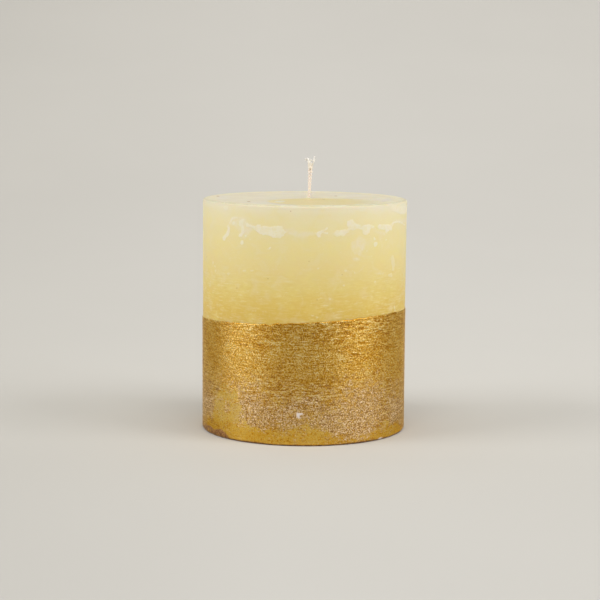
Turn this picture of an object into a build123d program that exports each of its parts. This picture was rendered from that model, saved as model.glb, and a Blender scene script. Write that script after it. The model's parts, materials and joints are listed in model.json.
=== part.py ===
from build123d import *
import math
import os

# Unity candle: a poured wax pillar with its foot dipped in gold lacquer and a
# braided cotton wick that stands out of the top. Millimetres, +Z up, origin at
# the centre of the base on the surface that the candle stands on.

# ------------------------------------------------------------------ pillar
WAX_R = 34.95            # bare wax radius, a nominal 70 mm pillar
RIM_Z = 80.0             # crest of the rim, the pillar's nominal height
RIM_ROUND = 0.9          # rounding of the outer top edge
RIM_CREST_R = 32.6       # radius of the crest of the rim
DISH_R = 29.4            # where the rim's inner slope reaches the dish floor
DISH_Z = 79.55           # dish floor
SEAM_Z = 72.0            # where the two pours meet at the wall
SHRINK_Z = 63.5          # lowest point of the first pour's shrinkage hollow
BORE_R = 2.0             # bore left by the mould's wick pin

# -------------------------------------------------------------- gold dip
COAT_T = 0.2             # thickness of the dipped coat
COAT_R = WAX_R + COAT_T  # outside radius of the coat
BASE_ROUND = 0.9         # rounding of the coat's bottom edge
DIP_Z = 40.7             # height of the dip line on the candle's axis
DIP_DX = 0.047           # the dip line rises towards +X
DIP_DY = -0.021          # and falls towards +Y
RECESS_R = 10.5          # recess in the base that takes the wick's tab
RECESS_D = 1.0           # depth of the recess from the standing plane

# ---------------------------------------------------- last small topping-up
POOL_X, POOL_Y = 6.5, -13.2   # centre of the pool, off to the front right
POOL_RX, POOL_RY = 19.5, 15.6
POOL_LIMIT_R = 29.3           # the pool never climbs the rim's inner slope
POOL_D = 0.9                  # depth of the pool
MENISCUS_R, MENISCUS_H = 1.7, 0.45   # wax that creeps up the wick

# ------------------------------------------------------------------- wick
WICK_R = 0.575           # braid, seen end on
TAB_R, TAB_T = 10.0, 0.3           # sheet-metal disc of the tab
NECK_R, NECK_T, NECK_H = 1.55, 0.3, 5.0   # its neck, crimped on the wick
CRIMP_Z = (2.6, 3.8)     # the crimped stretch of the neck
WICK_START_Z = 1.0
WICK_STRAIGHT_Z = 8.0    # the wick is upright in and just above the neck
WICK_TOP_X, WICK_TOP_Z = 1.30, 79.2   # it drifts across its bore on the way up
LEAN_DEG = 3.8           # lean of the exposed end towards +X
PIVOT_Z = 81.6           # where the exposed end bends
PIVOT_GAP = 0.08         # clearance under the rounded foot of the free end
SHANK_L = 2.4            # free end: even thickness, then it swells
FREE_L = 9.0             # free end up to where its strands part
FREE_TOP_R = 0.86

os.makedirs("parts", exist_ok=True)


def bar(p, q, r0, r1=None):
    """Round bar or cone between two points."""
    p, q = Vector(*p), Vector(*q)
    d = q - p
    plane = Plane(origin=p, z_dir=d.normalized())
    align = (Align.CENTER, Align.CENTER, Align.MIN)
    if r1 is None or abs(r1 - r0) < 1e-6:
        return plane * Cylinder(r0, d.length, align=align)
    return plane * Cone(r0, r1, d.length, align=align)


def ball(p, r):
    return Pos(*p) * Sphere(r)


def column(r, z0, z1):
    return Pos(0, 0, z0) * Cylinder(r, z1 - z0, align=(Align.CENTER, Align.CENTER, Align.MIN))


# ------------------------------------------- shapes shared by several pieces
# Shrinkage hollow: the sphere through the wall at SEAM_Z and the axis at SHRINK_Z.
hollow_h = SEAM_Z - SHRINK_Z
hollow_r = (WAX_R**2 + hollow_h**2) / (2 * hollow_h)
hollow = Pos(0, 0, SHRINK_Z + hollow_r) * Sphere(hollow_r)
bore = column(BORE_R, -1, RIM_Z + 5)

# Wick: upright in its tab, drifting across the bore, then leaning in the open.
lean = math.radians(LEAN_DEG)
lean_dir = (math.sin(lean), 0.0, math.cos(lean))
pivot = (
    WICK_TOP_X + (PIVOT_Z - WICK_TOP_Z) * math.tan(lean),
    0.0,
    PIVOT_Z,
)
stub_len = (PIVOT_Z - WICK_TOP_Z) / math.cos(lean) - WICK_R - PIVOT_GAP
stub_top = tuple(a + stub_len * b for a, b in zip((WICK_TOP_X, 0, WICK_TOP_Z), lean_dir))

# ------------------------------------------------------------- wick_stem
p0 = (0, 0, WICK_START_Z)
p1 = (0, 0, WICK_STRAIGHT_Z)
p2 = (WICK_TOP_X, 0, WICK_TOP_Z)
wick_stem = (
    bar(p0, p1, WICK_R) + ball(p1, WICK_R) + bar(p1, p2, WICK_R) + ball(p2, WICK_R) + bar(p2, stub_top, WICK_R)
)

# ------------------------------------------------------------- wax_body
wax_body = column(WAX_R, COAT_T, SEAM_Z)
wax_body = fillet(wax_body.edges().sort_by(Axis.Z)[0], BASE_ROUND - COAT_T)
wax_body = wax_body - hollow - bore - column(RECESS_R, -1, RECESS_D)

# ---------------------------------------------------------- wax_top_pour
# Section of the second pour's outside, revolved, then cut to sit in the hollow.
c45 = math.cos(math.radians(45))
with BuildPart() as cap_builder:
    with BuildSketch(Plane.XZ):
        with BuildLine():
            a = (0, SHRINK_Z - 1)
            b = (WAX_R, SHRINK_Z - 1)
            c = (WAX_R, RIM_Z - RIM_ROUND)
            d = (WAX_R - RIM_ROUND, RIM_Z - 0.02)
            Polyline(a, b, c)
            ThreePointArc(
                c,
                (WAX_R - RIM_ROUND * (1 - c45), RIM_Z - 0.02 - RIM_ROUND * (1 - c45)),
                d,
            )
            Spline(
                d,
                (RIM_CREST_R, RIM_Z),
                ((RIM_CREST_R + DISH_R) / 2, (RIM_Z + DISH_Z) / 2 + 0.02),
                (DISH_R, DISH_Z),
                tangents=((-1, 0.01), (-1, -0.005)),
            )
            Line((DISH_R, DISH_Z), (0, DISH_Z))
            Line((0, DISH_Z), a)
        make_face()
    revolve(axis=Axis.Z)
pool_outline = Sketch() + Pos(POOL_X, POOL_Y) * Ellipse(POOL_RX, POOL_RY)
pool_outline = pool_outline & Circle(POOL_LIMIT_R)
pool_disc = Pos(0, 0, DISH_Z - POOL_D) * extrude(pool_outline, POOL_D)
pool_cut = Pos(0, 0, DISH_Z - POOL_D) * extrude(pool_outline, POOL_D + 3)
wax_top_pour = (cap_builder.part & hollow) - bore - pool_cut

# --------------------------------------------------------- wick_well_fill
neck_top = WICK_START_Z + NECK_H - 0.3
well = pool_disc + column(BORE_R, neck_top, DISH_Z)
collar = Pos(WICK_TOP_X, 0, DISH_Z) * Cone(
    MENISCUS_R, WICK_R + 0.1, MENISCUS_H, align=(Align.CENTER, Align.CENTER, Align.MIN)
)
wick_well_fill = (well + collar) - wick_stem

# --------------------------------------------------------- gold_dip_coat
outer = column(COAT_R, 0, DIP_Z + 6)
outer = fillet(outer.edges().sort_by(Axis.Z)[0], BASE_ROUND)
inner = column(WAX_R, COAT_T, DIP_Z + 8)
inner = fillet(inner.edges().sort_by(Axis.Z)[0], BASE_ROUND - COAT_T)
dip_plane = Plane(origin=(0, 0, DIP_Z), z_dir=(-DIP_DX, -DIP_DY, 1))
gold_dip_coat = outer - inner - column(RECESS_R, -1, 2)
gold_dip_coat = split(gold_dip_coat, bisect_by=dip_plane, keep=Keep.BOTTOM)

# ---------------------------------------------------------------- wick_tab
z0 = RECESS_D - TAB_T
z1 = RECESS_D
zt = neck_top
with BuildPart() as tab_builder:
    with BuildSketch(Plane.XZ):
        with BuildLine():
            Polyline(
                (NECK_R - NECK_T, z0),
                (TAB_R, z0),
                (TAB_R, z1),
                (NECK_R + 0.25, z1),
                (NECK_R, z1 + 0.3),
                (NECK_R, CRIMP_Z[0] - 0.5),
                (WICK_R + NECK_T, CRIMP_Z[0]),
                (WICK_R + NECK_T, CRIMP_Z[1]),
                (NECK_R, CRIMP_Z[1] + 0.5),
                (NECK_R, zt),
                (NECK_R - NECK_T, zt),
                (NECK_R - NECK_T, CRIMP_Z[1] + 0.5),
                (WICK_R, CRIMP_Z[1]),
                (WICK_R, CRIMP_Z[0]),
                (NECK_R - NECK_T, CRIMP_Z[0] - 0.5),
                (NECK_R - NECK_T, z0),
            )
        make_face()
    revolve(axis=Axis.Z)
wick_tab = tab_builder.part

# ----------------------------------------------------------- wick_free_end
# Local frame of the free end: origin at the pivot, z along the wick.
free = Plane(origin=pivot, x_dir=(math.cos(lean), 0, -math.sin(lean)), z_dir=lean_dir)
shank = ball((0, 0, 0), WICK_R) + bar((0, 0, 0), (0, 0, SHANK_L), WICK_R)
swell = bar((0, 0, SHANK_L), (0, 0, FREE_L), WICK_R, FREE_TOP_R)
wick_free_end = free * (shank + swell)


# -------------------------------------------------------- wick_frayed_ends
def tuft(points, radii):
    """A strand's loose end: tapering bars with a ball at each joint, cut flat at its root."""
    s = bar(points[0], points[1], radii[0], radii[1])
    for i in range(1, len(points) - 1):
        s = s + ball(points[i], radii[i]) + bar(points[i], points[i + 1], radii[i], radii[i + 1])
    s = s + ball(points[-1], radii[-1])
    return s


left_tuft = tuft([(-0.40, -0.12, FREE_L - 0.4), (-0.72, -0.15, 10.6), (-0.98, -0.12, 11.45), (-1.55, -0.05, 11.15)], [0.38, 0.36, 0.24, 0.12])
mid_tuft = tuft([(0.04, -0.38, FREE_L - 0.4), (0.12, -0.42, 10.6)], [0.22, 0.15])
right_tuft = tuft([(0.45, 0.10, FREE_L - 0.4), (0.98, 0.14, 10.9), (0.98, 0.10, 12.45)], [0.36, 0.40, 0.13])
above = Pos(0, 0, FREE_L) * Box(8, 8, 8, align=(Align.CENTER, Align.CENTER, Align.MIN))
tufts = [t & above for t in (left_tuft, mid_tuft, right_tuft)]
fray = Part() + tufts[0]
for t in tufts[1:]:
    fray = fray + t
wick_frayed_ends = free * fray

nodes = {
    "wax_body": wax_body,
    "wax_top_pour": wax_top_pour,
    "wick_well_fill": wick_well_fill,
    "gold_dip_coat": gold_dip_coat,
    "wick_stem": wick_stem,
    "wick_tab": wick_tab,
    "wick_free_end": wick_free_end,
    "wick_frayed_ends": wick_frayed_ends,
}
for name, shape in nodes.items():
    export_step(shape, f"parts/{name}.step")
    bb = shape.bounding_box()
    print(
        name,
        len(shape.solids()),
        round(shape.volume, 2),
        [round(v, 3) for v in (*bb.min, *bb.max)],
    )
print("pivot", [round(v / 1000, 6) for v in pivot])
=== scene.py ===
import json
import math

import bpy
import numpy as np
from mathutils import Matrix, Vector


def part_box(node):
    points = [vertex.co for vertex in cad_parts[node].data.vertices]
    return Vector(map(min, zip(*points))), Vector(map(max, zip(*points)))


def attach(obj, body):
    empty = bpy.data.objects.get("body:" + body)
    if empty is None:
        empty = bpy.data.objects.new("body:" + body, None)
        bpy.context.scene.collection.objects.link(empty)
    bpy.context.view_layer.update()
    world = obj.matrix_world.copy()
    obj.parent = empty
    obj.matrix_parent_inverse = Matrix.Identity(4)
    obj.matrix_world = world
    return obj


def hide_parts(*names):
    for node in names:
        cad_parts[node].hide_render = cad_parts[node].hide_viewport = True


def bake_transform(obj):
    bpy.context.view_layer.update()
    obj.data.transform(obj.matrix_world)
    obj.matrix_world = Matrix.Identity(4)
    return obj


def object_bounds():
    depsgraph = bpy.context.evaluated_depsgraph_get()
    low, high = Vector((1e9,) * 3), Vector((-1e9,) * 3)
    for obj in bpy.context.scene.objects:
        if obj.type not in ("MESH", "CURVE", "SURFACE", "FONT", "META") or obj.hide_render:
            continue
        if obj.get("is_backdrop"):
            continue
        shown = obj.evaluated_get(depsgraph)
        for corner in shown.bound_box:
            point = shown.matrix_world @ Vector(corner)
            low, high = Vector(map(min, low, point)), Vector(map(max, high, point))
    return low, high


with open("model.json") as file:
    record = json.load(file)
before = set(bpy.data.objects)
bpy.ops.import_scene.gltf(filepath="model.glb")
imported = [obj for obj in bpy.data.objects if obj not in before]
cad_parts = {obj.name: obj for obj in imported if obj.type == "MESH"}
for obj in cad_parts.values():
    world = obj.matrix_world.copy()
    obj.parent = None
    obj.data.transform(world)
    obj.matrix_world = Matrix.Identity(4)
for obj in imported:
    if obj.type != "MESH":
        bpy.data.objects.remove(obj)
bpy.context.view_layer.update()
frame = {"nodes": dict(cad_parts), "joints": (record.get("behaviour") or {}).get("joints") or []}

MM = 0.001
TAU = 2 * math.pi

# ----------------------------------------------------------------------------
# sizes, in millimetres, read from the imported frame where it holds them
# ----------------------------------------------------------------------------
lo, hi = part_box("wax_body")
WAX_R = (hi.x - lo.x) / 2 / MM
lo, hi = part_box("wax_top_pour")
RIM_Z = round(hi.z / MM, 1)
lo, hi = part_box("gold_dip_coat")
COAT_R = (hi.x - lo.x) / 2 / MM
WAX_R, COAT_R = round(WAX_R, 2), round(COAT_R, 2)
COAT_T = COAT_R - WAX_R
PIVOT = Vector(frame["joints"][0]["pos_m"]) / MM
LEAN = math.radians(3.8)
DISH_Z = 79.55
POOL = (6.8, -13.8, 19.6, 15.6)  # centre x, y and half sizes of the pool
SEAM_Z = 72.0
RECESS_R, RECESS_D = 10.5, 1.0
BORE_R = 2.0


# ----------------------------------------------------------------------------
# small tools
# ----------------------------------------------------------------------------
def smooth(t):
    t = np.clip(t, 0, 1)
    return t * t * (3 - 2 * t)


def step(a, b, x):
    return smooth((x - a) / (b - a))


_tables = {}


def vnoise(u, v, nu, seed):
    """Smooth value noise in -1..1, periodic over u in 0..1 with nu cells; v is in cells."""
    key = (nu, seed)
    if key not in _tables:
        _tables[key] = np.random.default_rng(seed).random((1024, nu)) * 2 - 1
    table = _tables[key]
    x = np.asarray(u, float) * nu
    y = np.asarray(v, float) + 300.0
    i = np.floor(x).astype(int)
    j = np.floor(y).astype(int)
    fx, fy = smooth(x - i), smooth(y - j)
    i0, i1 = i % nu, (i + 1) % nu
    j0, j1 = j % 1024, (j + 1) % 1024
    a = table[j0, i0] * (1 - fx) + table[j0, i1] * fx
    b = table[j1, i0] * (1 - fx) + table[j1, i1] * fx
    return a * (1 - fy) + b * fy


def poly_sd(px, py, poly):
    """Signed distance from points to a closed outline, positive inside."""
    poly = np.asarray(poly, float)
    d2 = np.full(px.shape, 1e9)
    inside = np.zeros(px.shape, bool)
    n = len(poly)
    for k in range(n):
        ax, ay = poly[k]
        bx, by = poly[(k + 1) % n]
        ex, ey = bx - ax, by - ay
        wx, wy = px - ax, py - ay
        t = np.clip((wx * ex + wy * ey) / (ex * ex + ey * ey + 1e-12), 0, 1)
        d2 = np.minimum(d2, (wx - ex * t) ** 2 + (wy - ey * t) ** 2)
        cond = (ay > py) != (by > py)
        xin = (bx - ax) * (py - ay) / ((by - ay) if abs(by - ay) > 1e-12 else 1e-12) + ax
        inside ^= cond & (px < xin)
    return np.where(inside, 1, -1) * np.sqrt(d2)


def wrap_s(s, centre):
    """Arc length brought to within half a turn of centre."""
    full = TAU * 35.0
    return (s - centre + full / 2) % full - full / 2 + centre


def make_mesh(name, verts, faces, smooth_shade=True, attrs=None, uvs=None):
    me = bpy.data.meshes.new(name)
    verts = np.asarray(verts, float) * MM
    me.vertices.add(len(verts))
    me.vertices.foreach_set("co", verts.ravel())
    sizes = np.array([len(f) for f in faces]) if not isinstance(faces, np.ndarray) else np.full(len(faces), faces.shape[1])
    flat = np.concatenate([np.asarray(f) for f in faces]) if not isinstance(faces, np.ndarray) else faces.ravel()
    me.loops.add(len(flat))
    me.loops.foreach_set("vertex_index", flat.astype(np.int32))
    me.polygons.add(len(sizes))
    starts = np.concatenate([[0], np.cumsum(sizes)[:-1]])
    me.polygons.foreach_set("loop_start", starts.astype(np.int32))
    me.polygons.foreach_set("loop_total", sizes.astype(np.int32))
    me.update(calc_edges=True)
    me.validate(clean_customdata=False)
    if smooth_shade:
        me.polygons.foreach_set("use_smooth", np.ones(len(me.polygons), bool))
    for key, values in (attrs or {}).items():
        at = me.attributes.new(key, "FLOAT", "POINT")
        at.data.foreach_set("value", np.asarray(values, np.float32))
    me.update()
    ob = bpy.data.objects.new(name, me)
    bpy.context.scene.collection.objects.link(ob)
    return ob


def rings_to_solid(rings, n, close_ends=True):
    """Quads between successive rings of n points each; a ring of 1 point makes a fan."""
    faces4, faces3 = [], []
    base = 0
    idx = []
    for r in rings:
        idx.append((base, len(r)))
        base += len(r)
    k = np.arange(n)
    k1 = (k + 1) % n
    for (a, na), (b, nb) in zip(idx[:-1], idx[1:]):
        if na == n and nb == n:
            faces4.append(np.stack([a + k, a + k1, b + k1, b + k], 1))
        elif na == 1:
            faces3.append(np.stack([np.full(n, a), b + k1, b + k], 1))
        elif nb == 1:
            faces3.append(np.stack([a + k, a + k1, np.full(n, b)], 1))
    out = []
    if faces4:
        out += list(np.concatenate(faces4))
    if faces3:
        out += list(np.concatenate(faces3))
    return out


# ----------------------------------------------------------------------------
# surface of the wax wall, shared by both pours and by the coat that follows it
# s is arc length from the front (-Y), positive towards +X; u is the turn 0..1
# ----------------------------------------------------------------------------
def ridges(u, z):
    """Brushed rings left by the mould, broken into short runs, -1..1."""
    zz = z + 0.30 * vnoise(u, z / 11, 11, 5)
    a = vnoise(u, zz / 0.52, 58, 11)
    b = vnoise(u, zz / 0.36, 97, 12)
    c = vnoise(u, zz / 0.80, 30, 13)
    return 0.62 * a + 0.30 * b + 0.35 * c


def patchy(u, z):
    return 0.5 + 0.5 * vnoise(u, z / 7.0, 15, 21) * 0.9 + 0.25 * vnoise(u, z / 2.8, 37, 22)


def wall_swell(u, z):
    """Slow departures from a true cylinder."""
    spread = 0.42 * np.clip((z - 34.0) / 46.0, 0, 1) ** 1.2 * np.clip(np.sin(u * TAU), 0, 1)
    return 0.05 * vnoise(u, z / 26, 5, 31) + 0.018 * vnoise(u, z / 6, 19, 32) + spread


def dip_z(u):
    """Height of the gold's upper edge."""
    a = u * TAU
    s = 35 * ((a + math.pi) % TAU - math.pi)
    plane = 40.70 + 0.047 * 35 * np.sin(a) - 0.021 * (-35 * np.cos(a))
    known_s = np.array([-66, -54, -50, -47, -38, -32.6, -28.2, -24.4, -17.8, -9.2, -3.8, 1.5, 6.7, 12.2, 18.1, 24.8, 28.6, 33.1, 38.8, 47, 54, 66])
    known_d = np.array([0.0, -0.45, -0.42, -0.25, -0.06, -0.03, -0.1, -0.12, -0.13, -0.15, -0.15, -0.21, -0.13, -0.04, 0.0, 0.26, 0.14, 0.06, 0.1, -0.10, -0.40, 0.0])
    d = np.interp(s, known_s, known_d, left=0, right=0)
    rag = 0.16 * vnoise(u, 0 * u + 3.5, 120, 41) + 0.10 * vnoise(u, 0 * u + 7.5, 290, 42) + 0.12 * vnoise(u, 0 * u + 11.5, 31, 43)
    nick = -0.55 * np.exp(-(((s + 11.6) / 0.9) ** 2)) - 0.35 * np.exp(-(((s + 27.0) / 0.7) ** 2)) + 0.25 * np.exp(-(((s - 19.5) / 0.8) ** 2))
    return plane + d + rag + nick


# ---- pale flakes where the second pour ran over the edge of the first -------
# outlines in (s, z), placed on the front and made up round the back
FLAKES = [
    [(-28.63, 72.61), (-27.61, 72.25), (-27.48, 71.12), (-27.69, 69.97), (-28.11, 69.09), (-29.42, 68.14), (-30.33, 67.15), (-31.18, 67.29), (-31.37, 67.99), (-30.56, 68.76), (-29.42, 69.56), (-28.76, 70.46), (-28.46, 71.34), (-28.89, 72.02)],
    [(-27.69, 73.32), (-27.20, 74.21), (-26.38, 74.94), (-25.20, 75.30), (-23.75, 75.32), (-23.53, 75.00), (-24.89, 74.92), (-26.06, 74.56), (-26.79, 73.87), (-27.19, 72.90), (-27.69, 72.53)],
    [(-26.14, 73.62), (-25.35, 73.76), (-25.27, 72.83), (-25.82, 72.59), (-26.22, 72.97)],
    [(-23.20, 73.80), (-22.65, 74.31), (-21.93, 74.81), (-21.16, 74.57), (-21.09, 73.89), (-21.65, 73.69), (-21.86, 72.89), (-21.15, 71.46), (-21.43, 70.37), (-22.13, 69.20), (-22.93, 68.76), (-23.44, 69.12), (-23.30, 69.61), (-22.35, 70.32), (-22.28, 71.17), (-22.64, 72.14), (-22.94, 72.49), (-23.30, 72.35), (-23.38, 72.94)],
    [(-22.63, 67.33), (-22.20, 67.78), (-21.56, 67.59), (-21.45, 66.84), (-21.91, 66.33), (-22.63, 66.48)],
    [(-18.17, 72.38), (-16.88, 72.14), (-15.29, 72.60), (-13.14, 72.74), (-11.35, 72.61), (-9.59, 73.01), (-7.57, 72.98), (-7.22, 72.09), (-6.05, 71.00), (-6.56, 70.54), (-7.04, 69.86), (-8.12, 69.21), (-10.45, 69.20), (-11.57, 69.72), (-12.53, 70.10), (-14.05, 69.90), (-15.29, 70.41), (-16.55, 71.14), (-17.52, 71.85)],
    [(-20.53, 73.95), (-19.91, 73.56), (-19.51, 72.96), (-16.88, 72.64), (-14.99, 73.23), (-14.80, 72.90), (-16.56, 72.32), (-18.17, 72.30), (-20.01, 72.48), (-20.53, 73.11)],
    [(-12.42, 65.30), (-11.91, 65.77), (-11.32, 66.08), (-11.20, 65.75), (-11.76, 65.33), (-12.27, 65.09)],
    [(-29.23, 56.37), (-28.10, 56.53), (-27.34, 56.22), (-27.88, 55.74), (-28.61, 55.68)],
    [(-21.89, 57.88), (-20.32, 57.99), (-20.28, 57.68), (-21.72, 57.58)],
    [(-18.86, 58.00), (-17.41, 58.08), (-17.48, 57.74), (-18.73, 57.69)],
    [(-30.90, 78.52), (-29.43, 78.52), (-28.29, 78.65), (-28.55, 77.73), (-29.56, 77.24), (-30.52, 77.66)],
    [(3.51, 70.95), (4.35, 71.09), (5.42, 71.55), (6.15, 71.97), (6.95, 72.24), (7.28, 72.79), (7.57, 72.68), (7.35, 72.12), (6.61, 71.63), (5.96, 71.27), (5.34, 70.74), (4.98, 69.57), (4.56, 69.35), (4.08, 69.97), (3.80, 70.39)],
    [(9.55, 70.68), (10.66, 71.56), (12.50, 71.79), (14.26, 71.86), (14.63, 72.52), (15.00, 72.28), (15.01, 71.22), (14.09, 70.63), (13.42, 70.23), (12.58, 69.49), (11.80, 70.19), (11.38, 69.58), (10.44, 69.71), (9.85, 70.31)],
    [(15.69, 75.40), (16.23, 74.83), (17.14, 73.84), (19.12, 73.03), (19.40, 72.34), (17.87, 72.24), (17.23, 71.64), (16.20, 71.62), (14.94, 72.23), (14.31, 73.09), (14.18, 74.27), (14.76, 74.68), (15.35, 74.94)],
    [(18.97, 71.91), (20.48, 72.92), (22.31, 73.17), (24.46, 72.72), (24.94, 71.96), (23.20, 71.83), (22.92, 70.77), (22.28, 70.01), (21.57, 69.70), (20.52, 70.09), (19.96, 70.91), (20.16, 71.47)],
    [(26.35, 72.28), (27.24, 72.85), (29.40, 72.78), (33.27, 72.47), (34.22, 73.12), (36.69, 73.32), (39.06, 73.26), (41.94, 72.75), (44.01, 72.09), (47.06, 71.40), (45.27, 71.38), (42.94, 72.03), (38.86, 72.87), (35.78, 72.81), (34.58, 72.10), (34.28, 70.68), (32.79, 70.73), (31.59, 70.30), (31.17, 69.64), (30.54, 70.31), (30.81, 70.98), (28.54, 71.30), (26.85, 71.68)],
    [(33.54, 78.94), (36.54, 78.56), (40.04, 78.15), (52.93, 77.67), (52.93, 76.20), (45.29, 75.33), (40.95, 75.61), (36.10, 76.69), (33.96, 77.23)],
    [(24.99, 68.59), (25.62, 68.46), (25.78, 67.94), (25.31, 67.80), (24.84, 68.11)],
    [(25.25, 67.01), (26.43, 67.22), (26.61, 66.64), (26.05, 65.82), (25.43, 65.52), (25.03, 66.11)],
    [(34.33, 61.92), (35.53, 61.96), (36.16, 60.75), (36.77, 59.25), (36.49, 57.83), (36.27, 56.75), (34.73, 56.95), (34.81, 58.27), (34.43, 60.04), (33.85, 61.24)],
    [(32.35, 55.96), (34.47, 56.05), (35.35, 55.33), (34.78, 54.75), (33.41, 54.94), (32.61, 55.44)],
    [(13.54, 58.54), (14.40, 58.56), (14.34, 58.11), (13.79, 57.91)],
    [(11.98, 63.24), (12.40, 63.51), (12.58, 63.08), (12.23, 62.67)],
    [(36.35, 44.65), (37.24, 44.84), (37.66, 44.06), (36.76, 43.58)],
    [(16.83, 58.17), (17.19, 57.82), (17.65, 57.23), (17.26, 57.19), (16.81, 57.69)],
]
FAINT = [
    [(-28.12, 72.78), (-27.49, 74.81), (-25.28, 75.80), (-22.65, 75.39), (-20.53, 75.22), (-20.02, 73.84), (-18.18, 73.09), (-17.52, 71.71), (-19.50, 69.35), (-20.86, 68.15), (-22.64, 68.32), (-24.12, 71.34), (-26.06, 72.35)],
    [(-5.90, 70.30), (-5.06, 71.80), (-3.33, 72.17), (-1.65, 71.41), (0.16, 71.70), (1.61, 71.51), (3.29, 71.09), (4.13, 70.81), (3.71, 70.25), (1.62, 69.97), (0.51, 69.13), (-1.63, 69.25), (-3.31, 69.60), (-4.72, 70.02)],
    [(-7.28, 72.09), (-5.01, 72.42), (-3.33, 72.45), (-4.44, 71.59), (-5.85, 71.00)],
    [(24.48, 71.87), (26.45, 70.91), (30.59, 70.08), (30.38, 68.96), (27.29, 69.73), (25.66, 70.39), (24.68, 71.01)],
    [(15.62, 67.20), (17.52, 68.53), (18.83, 69.61), (21.59, 68.35), (21.61, 66.65), (20.59, 64.44), (19.24, 63.09), (17.25, 63.75), (15.80, 65.22)],
    [(16.30, 62.66), (18.92, 62.26), (19.60, 61.37), (17.93, 61.46), (16.47, 61.95)],
    [(25.48, 56.74), (29.70, 56.70), (30.17, 56.23), (26.29, 56.17)],
    [(33.24, 73.91), (39.41, 74.04), (52.93, 73.25), (52.92, 71.19), (39.45, 72.89), (34.90, 72.93)],
]
DOTS = [
    (-37.4, 58.9, 0.41), (-36.2, 57.8, 0.35), (-35.8, 56.4, 0.29), (-20.6, 69.3, 0.18), (-14.9, 79.3, 0.35), (-10.6, 79.4, 0.35), (-12.9, 44.7, 0.21), (-35.3, 42.0, 0.27),
    (-16.8, 44.6, 0.18), (-32.3, 59.9, 0.18), (-18.7, 68.3, 0.12), (-23.7, 56.3, 0.15), (6.7, 70.9, 0.27), (7.4, 70.8, 0.15), (30.9, 67.7, 0.21), (17.9, 62.0, 0.27),
    (25.7, 54.0, 0.32), (2.8, 43.7, 0.21), (4.3, 43.0, 0.29), (17.0, 43.0, 0.21), (22.6, 44.3, 0.21), (19.2, 64.6, 0.18), (20.2, 65.2, 0.15), (4.5, 59.3, 0.21),
    (13.4, 53.5, 0.21), (23.9, 62.8, 0.18), (16.6, 62.4, 0.24), (19.4, 61.9, 0.21), (22.0, 64.4, 0.15), (28.4, 56.5, 0.18), (8.6, 49.1, 0.24), (37.6, 43.3, 0.29),
]
rng = np.random.default_rng(77)
s_at = 56.0
while s_at < 162.0:
    w = rng.uniform(3.0, 11.0)
    h = rng.uniform(1.2, 3.4)
    zc = 71.6 + rng.normal(0, 0.7)
    k = int(rng.integers(9, 15))
    ang = np.sort(rng.random(k)) * TAU
    rad = rng.uniform(0.55, 1.0, k)
    out = [(s_at + w / 2 + w / 2 * r * math.cos(a), zc + h / 2 * r * math.sin(a) * (1.35 if math.sin(a) > 0.8 else 1.0)) for a, r in zip(ang, rad)]
    (FLAKES if rng.random() < 0.72 else FAINT).append(out)
    for _ in range(int(rng.integers(0, 4))):
        DOTS.append((s_at + w * rng.random(), zc - h / 2 - rng.uniform(0.3, 3.0), rng.uniform(0.2, 0.42)))
    s_at += w + rng.uniform(0.2, 5.0)
for _ in range(34):
    DOTS.append((rng.uniform(56, 162), rng.uniform(43, 67), rng.uniform(0.18, 0.38)))


def flake_fields(s, z):
    """Signed distance to the crisp flakes and to the faint ones, in mm, positive inside."""
    crisp = np.full(s.shape, -2.0)
    faint = np.full(s.shape, -2.0)
    for group, field in ((FLAKES, crisp), (FAINT, faint)):
        for poly in group:
            p = np.asarray(poly)
            cs = p[:, 0].mean()
            ws = wrap_s(s, cs)
            near = (ws > p[:, 0].min() - 2) & (ws < p[:, 0].max() + 2) & (z > p[:, 1].min() - 2) & (z < p[:, 1].max() + 2)
            if near.any():
                d = poly_sd(ws[near], z[near], p)
                field[near] = np.maximum(field[near], np.clip(d, -2, 2))
    for cs, cz, r in DOTS:
        ws = wrap_s(s, cs)
        near = (np.abs(ws - cs) < r + 2) & (np.abs(z - cz) < r + 2)
        if near.any():
            d = r - np.hypot((ws[near] - cs) * 0.85, z[near] - cz)
            crisp[near] = np.maximum(crisp[near], np.clip(d, -2, 2))
    return crisp, faint


def wax_relief(u, z, crisp, faint):
    """Radial height of the wax surface over WAX_R, in mm."""
    visible = 1 - 0.95 * step(50, 64, z)
    amp = (0.006 + 0.026 * visible) * np.clip(patchy(u, z), 0.12, 1.2)
    return ridges(u, z) * amp + wall_swell(u, z) * 0.8 + 0.05 * step(-0.12, 0.22, crisp) + 0.012 * step(-0.3, 0.5, faint)


def column_points(n):
    u = np.arange(n) / n
    return u


def ring(u, r, z):
    """Points of one ring; r and z are numbers or arrays over u."""
    a = u * TAU
    r = np.broadcast_to(r, u.shape)
    z = np.broadcast_to(z, u.shape)
    return np.stack([r * np.sin(a), -r * np.cos(a), z], 1)


def arc_s(u):
    a = u * TAU
    return 35 * ((a + math.pi) % TAU - math.pi)


# ----------------------------------------------------------------------------
# node helpers
# ----------------------------------------------------------------------------
def srgb(r, g, b):
    def f(c):
        c = c / 255.0
        return c / 12.92 if c <= 0.04045 else ((c + 0.055) / 1.055) ** 2.4

    return (f(r), f(g), f(b), 1.0)


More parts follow.
